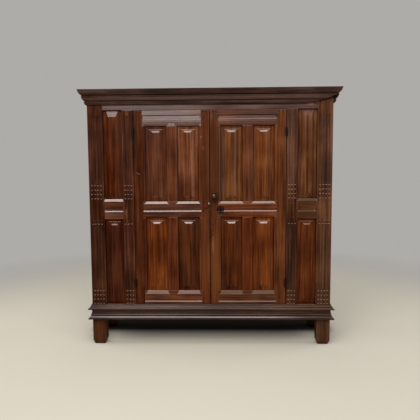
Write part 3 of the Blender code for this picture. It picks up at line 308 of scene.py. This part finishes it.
    sides = add_node(tree, "SeparateXYZ", {0: add_node(tree, "VectorMath", {0: normal},
                                                       operation="ABSOLUTE").outputs[0]})
    widest = add_node(tree, "Math", {0: sides.outputs["X"], 1: sides.outputs["Y"]}, operation="MAXIMUM")
    flatness = add_node(tree, "Math", {0: widest.outputs[0], 1: sides.outputs["Z"]}, operation="MAXIMUM")
    tilt = add_node(tree, "MapRange", {0: flatness.outputs[0], 1: 0.985, 2: 0.955, 3: face_wax,
                                     4: max(face_wax, 0.24)})
    wax = add_node(tree, "Math", {0: slope.outputs[0], 1: tilt.outputs[0]}, operation="MAXIMUM")
    dulled = add_node(tree, "Math", {0: wax.outputs[0], 1: ledge.outputs[0]}, operation="MULTIPLY")
    polished = add_node(tree, "Math", {0: dulled.outputs[0], 1: polish}, operation="MULTIPLY")
    tree.links.new(polished.outputs[0], shader.inputs["Coat Weight"])
    shader.inputs["Coat Roughness"].default_value = 0.18
    shader.inputs["Coat IOR"].default_value = 1.6
    shader.inputs["Specular IOR Level"].default_value = 0.02
    gloss = add_node(tree, "MapRange", {0: clouds, 1: 0.3, 2: 0.7, 3: 0.42, 4: 0.56})
    tree.links.new(gloss.outputs[0], shader.inputs["Roughness"])

    planing = add_node(tree, "Bump", {"Height": clouds, "Distance": 0.004, "Strength": 0.25})
    open_pores = add_node(tree, "Bump", {"Height": pores, "Distance": 0.0006, "Strength": 0.35,
                                         "Normal": planing.outputs[0]})
    tree.links.new(open_pores.outputs[0], shader.inputs["Normal"])
    return material


figure_dice = random.Random(17)


# The tones given to the pieces below are colour factors fitted to the colour of each piece's region, so
# besides the piece's own shade they paint in part of the light and shade that falls on it.
def dress(name, material, tone=1.0, easing=0.0008):
    """Give a CAD piece its timber, a figure of its own, a fitted colour tone, and slightly rounded edges."""
    piece = nodes[name]
    piece.data.materials.clear()
    piece.data.materials.append(material)
    piece["figure"] = [figure_dice.uniform(0.0, 9.0) for axis in range(3)]
    piece["tone"] = tone if isinstance(tone, tuple) else (tone, tone, tone)
    if easing:
        weld = piece.modifiers.new("join corners", "WELD")
        weld.merge_threshold = 0.00005
        bevel = piece.modifiers.new("eased edges", "BEVEL")
        bevel.width = easing
        bevel.segments = 2
        bevel.limit_method = "ANGLE"
        bevel.angle_limit = math.radians(30)
        bevel.use_clamp_overlap = False


scribe = (0.12, 0.055, 0.030)
ochre = (0.150, 0.062, 0.022)
post_marks = (
    (-0.797, 0.902, 0.045, 0.002, scribe, 0.7),
    (-0.797, 0.883, 0.045, 0.002, scribe, 0.7),
    (-0.807, 0.090, 0.080, 0.130, (0.105, 0.038, 0.015), 0.6),
    (0.777, 1.123, 0.060, 0.002, scribe, 0.7),
    (0.786, 0.978, 0.040, 0.070, ochre, 0.6),
)
post_oak = waxed_oak("post_oak", (0.016, 0.005, 0.002), (0.048, 0.015, 0.006), (0.095, 0.036, 0.018),
                     dust_and_highlight=0.55, marks=post_marks)
dress("left_front_post", post_oak, (1.07, 0.86, 0.66))
dress("right_front_post", post_oak, (1.41, 1.45, 1.22))


# Jambs, frieze and rails of the front frame
# The doors hang between two fluted oak stiles. The frieze rail above and the bottom rail behind the
# base are tenoned into the posts, and short rails with a sill and a slope cross the flanks.
# A near-black line colour, used both for dirt and scratches and for painted shade in gaps and quirks.
dirt_and_shade_line = (0.008, 0.004, 0.003)
jamb_marks = (
    (-0.595, 0.949, 0.014, 0.050, scribe, 0.6),
    (-0.595, 0.999, 0.018, 0.002, dirt_and_shade_line, 0.8),
    (-0.595, 0.967, 0.007, 0.010, (0.13, 0.11, 0.10), 0.7),
    (-0.583, 0.901, 0.032, 0.002, scribe, 0.6),
    (-0.583, 0.888, 0.032, 0.002, scribe, 0.6),
    # Painted shadow: a dark line down the gap between the left jamb and the left door.
    (-0.539, 1.480, 0.008, 0.300, dirt_and_shade_line, 0.9),
    (0.564, 0.921, 0.032, 0.002, scribe, 0.5),
    (0.564, 0.884, 0.032, 0.002, scribe, 0.5),
    (0.576, 1.020, 0.022, 0.002, scribe, 0.7),
    (0.570, 1.009, 0.018, 0.002, dirt_and_shade_line, 0.7),
)
jamb_oak = waxed_oak("jamb_oak", (0.020, 0.006, 0.0025), (0.058, 0.018, 0.007), (0.108, 0.042, 0.020),
                     dust_and_highlight=0.55, marks=jamb_marks)
dress("left_jamb_stile", jamb_oak, (1.07, 0.87, 0.74))
dress("right_jamb_stile", jamb_oak, (1.24, 1.23, 1.19))
frieze_marks = (
    # Painted shadow: a dark line along the top of the frieze, under the cornice.
    (0.0, 1.707, 2.0, 0.007, dirt_and_shade_line, 1.0),
    (0.700, 1.700, 0.035, 0.012, (0.20, 0.085, 0.035), 0.7),
)
frieze_oak = waxed_oak("frieze_oak", (0.038, 0.015, 0.010), (0.080, 0.035, 0.024), (0.125, 0.062, 0.045), "X",
                       face_wax=0.5, marks=frieze_marks)
dress("frieze_rail", frieze_oak)
painted_slope_shade = (0.055, 0.022, 0.009)
flank_rail_marks = (
    # Painted shade: the up-facing sill and slope of the right flank rail are painted darker, so that they
    # look less lit.
    (0.681, 1.044, 0.300, 0.028, painted_slope_shade, 0.95),
    (0.681, 0.937, 0.300, 0.024, painted_slope_shade, 0.95),
    (0.681, 1.035, 0.070, 0.002, dirt_and_shade_line, 0.6),
    (0.681, 0.968, 0.070, 0.002, scribe, 0.6),
    (0.734, 0.972, 0.008, 0.008, dust_and_highlight_tint, 0.7),
)
rail_tints = ((0.042, 0.010, 0.003), (0.092, 0.025, 0.009), (0.150, 0.050, 0.020))
flank_rail_oak = waxed_oak("flank_rail_oak", *rail_tints, "X")
dress("bottom_rail", flank_rail_oak)
dress("left_flank_rail", flank_rail_oak, (0.95, 1.00, 1.02))
# A less polished copy for the right flank rail, with less of the pale up-facing colour: painted shade on this
# right-hand piece.
dull_and_shaded_rail_oak = waxed_oak("dull_and_shaded_rail_oak", *rail_tints, "X", polish=0.12, dust_and_highlight=0.1, marks=flank_rail_marks)
dress("right_flank_rail", dull_and_shaded_rail_oak, (0.97, 1.18, 1.03))


# Flank panels
# Four tall oak panels stand in grooves between the posts and the jambs. The upper two have one wide
# bevel above and below the field, and the lower two a stepped margin.
panel_tints = ((0.042, 0.009, 0.0025), (0.098, 0.024, 0.006), (0.170, 0.050, 0.014))
panel_oak = waxed_oak("panel_oak", *panel_tints)
dress("left_lower_flank_panel", panel_oak, (0.56, 0.45, 0.37))
dress("right_lower_flank_panel", panel_oak, (0.92, 0.84, 0.63))
satin_panel_oak = waxed_oak("satin_panel_oak", *panel_tints, polish=0.5)
dress("left_upper_flank_panel", satin_panel_oak, (0.75, 0.62, 0.49))
# A less polished copy for the right upper flank panel, with less of the pale up-facing colour: painted shade
# on this right-hand piece.
dull_and_shaded_panel_oak = waxed_oak("dull_and_shaded_panel_oak", *panel_tints, polish=0.1, dust_and_highlight=0.05)
dress("right_upper_flank_panel", dull_and_shaded_panel_oak, (1.00, 1.37, 1.96))


# Carcase
# Back posts, side boards and vertical back boards are dry oak that was never waxed, and so are the
# top, the floor and the shelf, which run from end to end. Nails hold the back boards.
side_board_width = 0.25
level_board_width = 0.165
back_board_count = 8
side_oak = waxed_oak("side_oak", (0.040, 0.015, 0.007), (0.068, 0.026, 0.012), (0.100, 0.042, 0.022),
                     polish=0.3, bare=0.0, boards=("Y", side_board_width))
dry_tints = ((0.085, 0.052, 0.032), (0.120, 0.075, 0.047), (0.158, 0.103, 0.068))
back_low, back_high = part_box("back_boards")
back_board_width = (back_high.x - back_low.x) / back_board_count
dry_oak = waxed_oak("dry_oak", *dry_tints, polish=0.0, boards=("X", back_board_width), bare=0.0)
dry_oak_level = waxed_oak("dry_oak_level", *dry_tints, "X", polish=0.0,
                          boards=("Y", level_board_width), bare=0.0)
nail_row_height = 0.25
nail_row_half_spacing = 0.375
nail_inset = 0.035
tree = dry_oak.node_tree
back_place = add_node(tree, "SeparateXYZ", {0: add_node(tree, "TexCoord").outputs["Object"]})
from_joint = add_node(tree, "Math", {0: back_place.outputs["X"], 1: back_board_width / 2},
                      operation="PINGPONG")
over_row = add_node(tree, "Math", {0: back_place.outputs["Z"], 1: nail_row_height}, operation="SUBTRACT")
from_row = add_node(tree, "Math", {0: over_row.outputs[0], 1: nail_row_half_spacing}, operation="PINGPONG")
nail_aside = add_node(tree, "Math", {0: from_joint.outputs[0], 1: nail_inset}, operation="SUBTRACT")
nail_offset = add_node(tree, "CombineXYZ", {0: nail_aside.outputs[0], 2: from_row.outputs[0]})
from_nail = add_node(tree, "VectorMath", {0: nail_offset.outputs[0]}, operation="LENGTH").outputs["Value"]
nail_head = add_node(tree, "MapRange", {0: from_nail, 1: 0.0045, 2: 0.0055, 3: 1.0, 4: 0.0})
nail_rust = add_node(tree, "MapRange", {0: from_nail, 1: 0.004, 2: 0.022, 3: 0.6, 4: 0.0})
marked = add_node(tree, "Math", {0: nail_rust.outputs[0], 1: nail_head.outputs[0]}, operation="MAXIMUM")
facing = add_node(tree, "SeparateXYZ", {0: add_node(tree, "NewGeometry").outputs["Normal"]})
behind = add_node(tree, "MapRange", {0: facing.outputs["Y"], 1: 0.1, 2: 0.3})
nailed = add_node(tree, "Math", {0: marked.outputs[0], 1: behind.outputs[0]}, operation="MULTIPLY")
base_colour = tree.nodes["Principled BSDF"].inputs["Base Color"]
nailed_oak = add_node(tree, "Mix", {0: nailed.outputs[0], 6: base_colour.links[0].from_socket,
                                    7: (0.016, 0.011, 0.009, 1.0)}, data_type="RGBA")
tree.links.new(nailed_oak.outputs[2], base_colour)
for side in ("left", "right"):
    dress(f"{side}_back_post", side_oak, 0.6)
    dress(f"{side}_side_board", side_oak)
dress("back_boards", dry_oak)
for name in ("top_board", "floor_board", "shelf"):
    dress(name, dry_oak_level)


# Cornice and base
# Long oak mouldings, each a front length mitred at the corners to a short return down either side.
# They are the darkest timber, thick with old wax. Shade is painted black into the quirks between their
# steps and along the base's lower edge, and a pale sheen is painted on the cornice's middle step.
moulding_tints = ((0.018, 0.007, 0.004), (0.044, 0.018, 0.011), (0.082, 0.040, 0.029))
painted_quirk_shade = (0.004, 0.0015, 0.001)
moulding_marks = {
    "cornice": (
        # Painted sheen: a paler pinkish band on the cornice's middle step.
        (-0.10, 1.746, 1.30, 0.014, (0.105, 0.057, 0.047), 0.9),
        # Painted shade: black lines in the cornice's two quirks.
        (0.0, 1.7335, 2.0, 0.006, painted_quirk_shade, 1.0),
        (0.0, 1.7705, 2.0, 0.006, painted_quirk_shade, 1.0),
    ),
    "base": (
        (0.0, 0.246, 1.30, 0.020, (0.115, 0.048, 0.028), 0.9),
        (0.65, 0.2820, 0.45, 0.030, (0.105, 0.052, 0.033), 0.8),
        # Painted shade: a black line under the nose of the base's upper step, and one along its lower edge.
        (-0.35, 0.2640, 0.85, 0.006, painted_quirk_shade, 0.7),
        (0.0, 0.1900, 2.0, 0.007, painted_quirk_shade, 1.0),
    ),
}
for moulding, polish in (("cornice", 0.6), ("base", 1.0)):
    front_oak = waxed_oak(f"{moulding}_oak", *moulding_tints, "X", polish, dust_and_highlight=0.05, grime_and_shade=(0.05, 0.6),
                          marks=moulding_marks[moulding])
    return_oak = waxed_oak(f"{moulding}_return_oak", *moulding_tints, "Y", polish, dust_and_highlight=0.05,
                           grime_and_shade=(0.05, 0.6))
    dress(f"{moulding}_front", front_oak)
    for side in ("left", "right"):
        dress(f"{moulding}_{side}_return", return_oak)


# Door frames
# Each door has two stiles, three rails and two muntins of reddish oak, tenoned and pegged together.
# The meeting stiles are painted darker above and lighter below, as painted shade and light. Hands have left
# dirt round the knob, where the knob's shadow is painted in too, and a scar crosses the left meeting stile
# beside the lock.
stile_marks = (
    # Painted shadow: a dark line down the gap between the left door's hinge stile and the jamb.
    (-0.529, 1.480, 0.010, 0.300, dirt_and_shade_line, 0.9),
    (-0.501, 1.245, 0.022, 0.034, (0.014, 0.006, 0.004), 0.9),
    (-0.511, 1.238, 0.005, 0.006, (0.16, 0.14, 0.13), 0.9),
    (-0.498, 1.231, 0.005, 0.006, (0.16, 0.14, 0.13), 0.9),
    # Painted shade and light: the left meeting stile is darker in its upper half and lighter, more orange, in
    # its lower half.
    (-0.040, 1.350, 0.060, 0.420, (0.045, 0.015, 0.006), 0.45),
    (-0.040, 0.620, 0.060, 0.360, (0.130, 0.040, 0.011), 0.6),
    (-0.042, 1.409, 0.014, 0.020, ochre, 0.6),
    (-0.059, 1.485, 0.006, 0.006, dust_and_highlight_tint, 0.6),
    (-0.006, 1.021, 0.006, 0.007, (0.45, 0.42, 0.42), 0.9),
    (-0.010, 1.003, 0.008, 0.010, dirt_and_shade_line, 0.9),
    (-0.027, 0.986, 0.014, 0.009, dirt_and_shade_line, 0.9),
    (-0.045, 0.968, 0.012, 0.009, dirt_and_shade_line, 0.8),
    # Painted shade and light: the right meeting stile is darker in its upper half and lighter, more orange,
    # in its lower half.
    (0.040, 1.350, 0.060, 0.420, (0.035, 0.013, 0.005), 0.6),
    (0.040, 0.600, 0.060, 0.380, (0.160, 0.052, 0.015), 0.7),
    # Hand dirt round the knob, with the knob's shadow painted in below it.
    (0.041, 1.052, 0.036, 0.052, (0.016, 0.007, 0.004), 0.85),
    (0.023, 0.868, 0.005, 0.012, dirt_and_shade_line, 0.8),
    (0.021, 0.832, 0.005, 0.010, dirt_and_shade_line, 0.8),
    (0.022, 0.800, 0.005, 0.010, dirt_and_shade_line, 0.8),
    (0.021, 0.725, 0.009, 0.070, (0.21, 0.105, 0.045), 0.75),
    (0.018, 1.628, 0.016, 0.035, (0.060, 0.052, 0.050), 0.8),
)
stile_oak = waxed_oak("stile_oak", (0.040, 0.010, 0.003), (0.088, 0.024, 0.008), (0.145, 0.046, 0.017),
                      marks=stile_marks)
stile_tones = {
    "left_door_hinge_stile": (0.65, 0.55, 0.43), "left_door_meeting_stile": (1.05, 0.91, 0.66),
    "left_door_upper_muntin": (0.92, 0.90, 0.96), "left_door_lower_muntin": (0.99, 0.82, 0.71),
    "right_door_hinge_stile": (1.15, 1.19, 1.03), "right_door_meeting_stile": (0.91, 0.77, 0.51),
    "right_door_upper_muntin": (1.02, 1.04, 1.10), "right_door_lower_muntin": (0.93, 0.67, 0.38),
}
for name, tone in stile_tones.items():
    dress(name, stile_oak, tone)
painted_rail_shade = (
    # Painted shade on the top rails: a dark line at the top step of the band, a darker strip round the band's
    # lower quirk, and dark lines in that quirk.
    (-0.267, 1.6475, 0.500, 0.007, (0.030, 0.015, 0.010), 0.7),
    (-0.267, 1.5830, 0.500, 0.011, (0.050, 0.025, 0.020), 0.7),
    (0.267, 1.5830, 0.300, 0.011, (0.055, 0.025, 0.018), 0.6),
    (-0.267, 1.586, 0.500, 0.007, dirt_and_shade_line, 1.0),
    (0.267, 1.586, 0.500, 0.006, dirt_and_shade_line, 0.6),
)
rail_tones = {
    "left_door_top_rail": 1.0, "left_door_mid_rail": (0.85, 0.96, 1.10),
    "left_door_bottom_rail": (1.11, 1.13, 1.06),
    "right_door_top_rail": 1.0, "right_door_mid_rail": (1.43, 1.33, 1.27),
    "right_door_bottom_rail": (0.93, 1.11, 1.10),
}
for side, polish, face_wax in (("left", 1.0, 1.0), ("right", 0.55, 0.5)):
    rail_oak = waxed_oak(f"{side}_rail_oak", *rail_tints, "X", polish, grime_and_shade=(0.15, 0.35), marks=painted_rail_shade)
    top_rail_oak = waxed_oak(f"{side}_top_rail_oak", *rail_tints, "X", polish, grime_and_shade=(0.15, 0.35),
                             face_wax=face_wax, marks=painted_rail_shade)
    for level, oak in (("top", top_rail_oak), ("mid", rail_oak), ("bottom", rail_oak)):
        name = f"{side}_door_{level}_rail"
        dress(name, oak, rail_tones[name])


# Door panels
# Four oak panels stand in the grooves of each door's frame. Each has a stepped margin and a steep bevel
# round a narrow raised field, and a fitted tone that is partly its own shade and partly painted light and
# shade.
panel_tones = {
    "left_door_upper_outer_panel": (0.80, 0.83, 0.89), "left_door_upper_inner_panel": (1.14, 1.33, 1.84),
    "left_door_lower_outer_panel": (1.31, 1.12, 0.58), "left_door_lower_inner_panel": (0.59, 0.54, 0.50),
    "right_door_upper_inner_panel": (0.95, 1.11, 1.09), "right_door_upper_outer_panel": (1.11, 1.21, 1.12),
    "right_door_lower_inner_panel": (0.77, 0.62, 0.35), "right_door_lower_outer_panel": (1.25, 1.09, 0.66),
}
for name, tone in panel_tones.items():
    dress(name, panel_oak, tone)


# Pegs
# Small oak pegs are driven through the tenons of the doors and the flank rails and draw them tight.
# Their whittled ends stand a little proud of the front.
flank_peg_inset = (0.019, 0.035)
rail_peg_inset = (0.015, 0.030)
muntin_peg_rise = 0.006
muntin_peg_drop = 0.018
peg_radius = 0.0035
peg_sides = 9
peg_rings = ((1.0, 0.0015), (1.0, -0.0003), (0.75, -0.0006))


def drive_pegs(name, body, places):
    """One mesh of peg ends in the front plane, riding on a body."""
    bm = bmesh.new()
    for x, z in places:
        rings = []
        for share, depth in peg_rings:
            spokes = [math.tau * i / peg_sides for i in range(peg_sides)]
            rings.append([bm.verts.new((x + peg_radius * share * math.cos(spoke), door_plane + depth,
                                        z + peg_radius * share * math.sin(spoke))) for spoke in spokes])
        for near, far in zip(rings, rings[1:]):
            for i in range(peg_sides):
                j = (i + 1) % peg_sides
                bm.faces.new((near[i], near[j], far[j], far[i]))
        bm.faces.new(rings[0])
        bm.faces.new(rings[-1])
    bmesh.ops.recalc_face_normals(bm, faces=bm.faces)
    mesh = bpy.data.meshes.new(name)
    bm.to_mesh(mesh)
    bm.free()
    pegs = bpy.data.objects.new(name, mesh)
    bpy.context.scene.collection.objects.link(pegs)
    mesh.materials.append(stile_oak)
    pegs["figure"] = (0.0, 0.0, 0.0)
    pegs["tone"] = (0.6, 0.55, 0.5)
    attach(pegs, body)


def corner_places(rail, inset):
    """Places of four pegs, set in from the corners of a rail."""
    low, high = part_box(rail)
    aside, up = inset
    return [(x, z) for x in (low.x + aside, high.x - aside) for z in (low.z + up, high.z - up)]


flank_places = []
for side in ("left", "right"):
    flank_places += corner_places(f"{side}_flank_rail", flank_peg_inset)
    door_places = []
    for level in ("top", "mid", "bottom"):
        door_places += corner_places(f"{side}_door_{level}_rail", rail_peg_inset)
    for level in ("lower", "upper"):
        low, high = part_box(f"{side}_door_{level}_muntin")
        heights = (low.z + muntin_peg_rise, high.z - muntin_peg_drop)
        door_places += [((low.x + high.x) / 2, z) for z in heights]
    drive_pegs(f"{side}_door_pegs", f"{side}_door", door_places)
drive_pegs("flank_pegs", "case", flank_places)


# Ironwork
# Forged black iron: four lift-off hinges, the rim lock's case and the pierced plate over its keyhole.
# The lock's bolt is rubbed bright.
def forged_iron(name, dark, rubbed, roughness):
    """Hammered iron with a dull skin, rubbed on its edges."""
    material, tree, shader = make_material(name)
    place = add_node(tree, "TexCoord").outputs["Object"]
    hammer = add_node(tree, "TexNoise", {"Vector": place, "Scale": 160.0, "Detail": 3.0})
    skin = add_node(tree, "ValToRGB", {"Fac": hammer.outputs["Fac"]})
    skin.color_ramp.elements[0].position = 0.35
    skin.color_ramp.elements[0].color = (*dark, 1.0)
    skin.color_ramp.elements[1].position = 0.75
    skin.color_ramp.elements[1].color = (*rubbed, 1.0)
    tree.links.new(skin.outputs["Color"], shader.inputs["Base Color"])
    dents = add_node(tree, "Bump", {"Height": hammer.outputs["Fac"], "Distance": 0.0008, "Strength": 0.5})
    tree.links.new(dents.outputs[0], shader.inputs["Normal"])
    shader.inputs["Metallic"].default_value = 0.85
    shader.inputs["Roughness"].default_value = roughness
    return material


black_iron = forged_iron("black_iron", (0.004, 0.0035, 0.003), (0.016, 0.014, 0.013), 0.6)
bright_iron = forged_iron("bright_iron", (0.10, 0.095, 0.09), (0.22, 0.21, 0.20), 0.4)
for side in ("left", "right"):
    for level in ("lower", "upper"):
        for half in ("jamb", "door"):
            dress(f"{side}_{level}_hinge_{half}_half", black_iron, easing=0.0)
dress("lock_case", black_iron, easing=0.001)
dress("escutcheon", black_iron, easing=0.0)
dress("lock_bolt", bright_iron, easing=0.0006)


# Knob
# One small knob on the right door, turned in one piece with its neck. It is nearly black, and hands have
# polished it.
knob_finish, tree, shader = make_material("turned_knob")
turning = add_node(tree, "TexNoise", {"Scale": 90.0, "Detail": 3.0})
knob_tint = add_node(tree, "ValToRGB", {"Fac": turning.outputs["Fac"]})
knob_tint.color_ramp.elements[0].color = (0.010, 0.005, 0.004, 1.0)
knob_tint.color_ramp.elements[1].color = (0.035, 0.015, 0.009, 1.0)
tree.links.new(knob_tint.outputs["Color"], shader.inputs["Base Color"])
shader.inputs["Roughness"].default_value = 0.12
shader.inputs["IOR"].default_value = 1.65
shader.inputs["Specular Tint"].default_value = (1.0, 0.84, 0.76, 1.0)
dress("knob", knob_finish, easing=0.0)
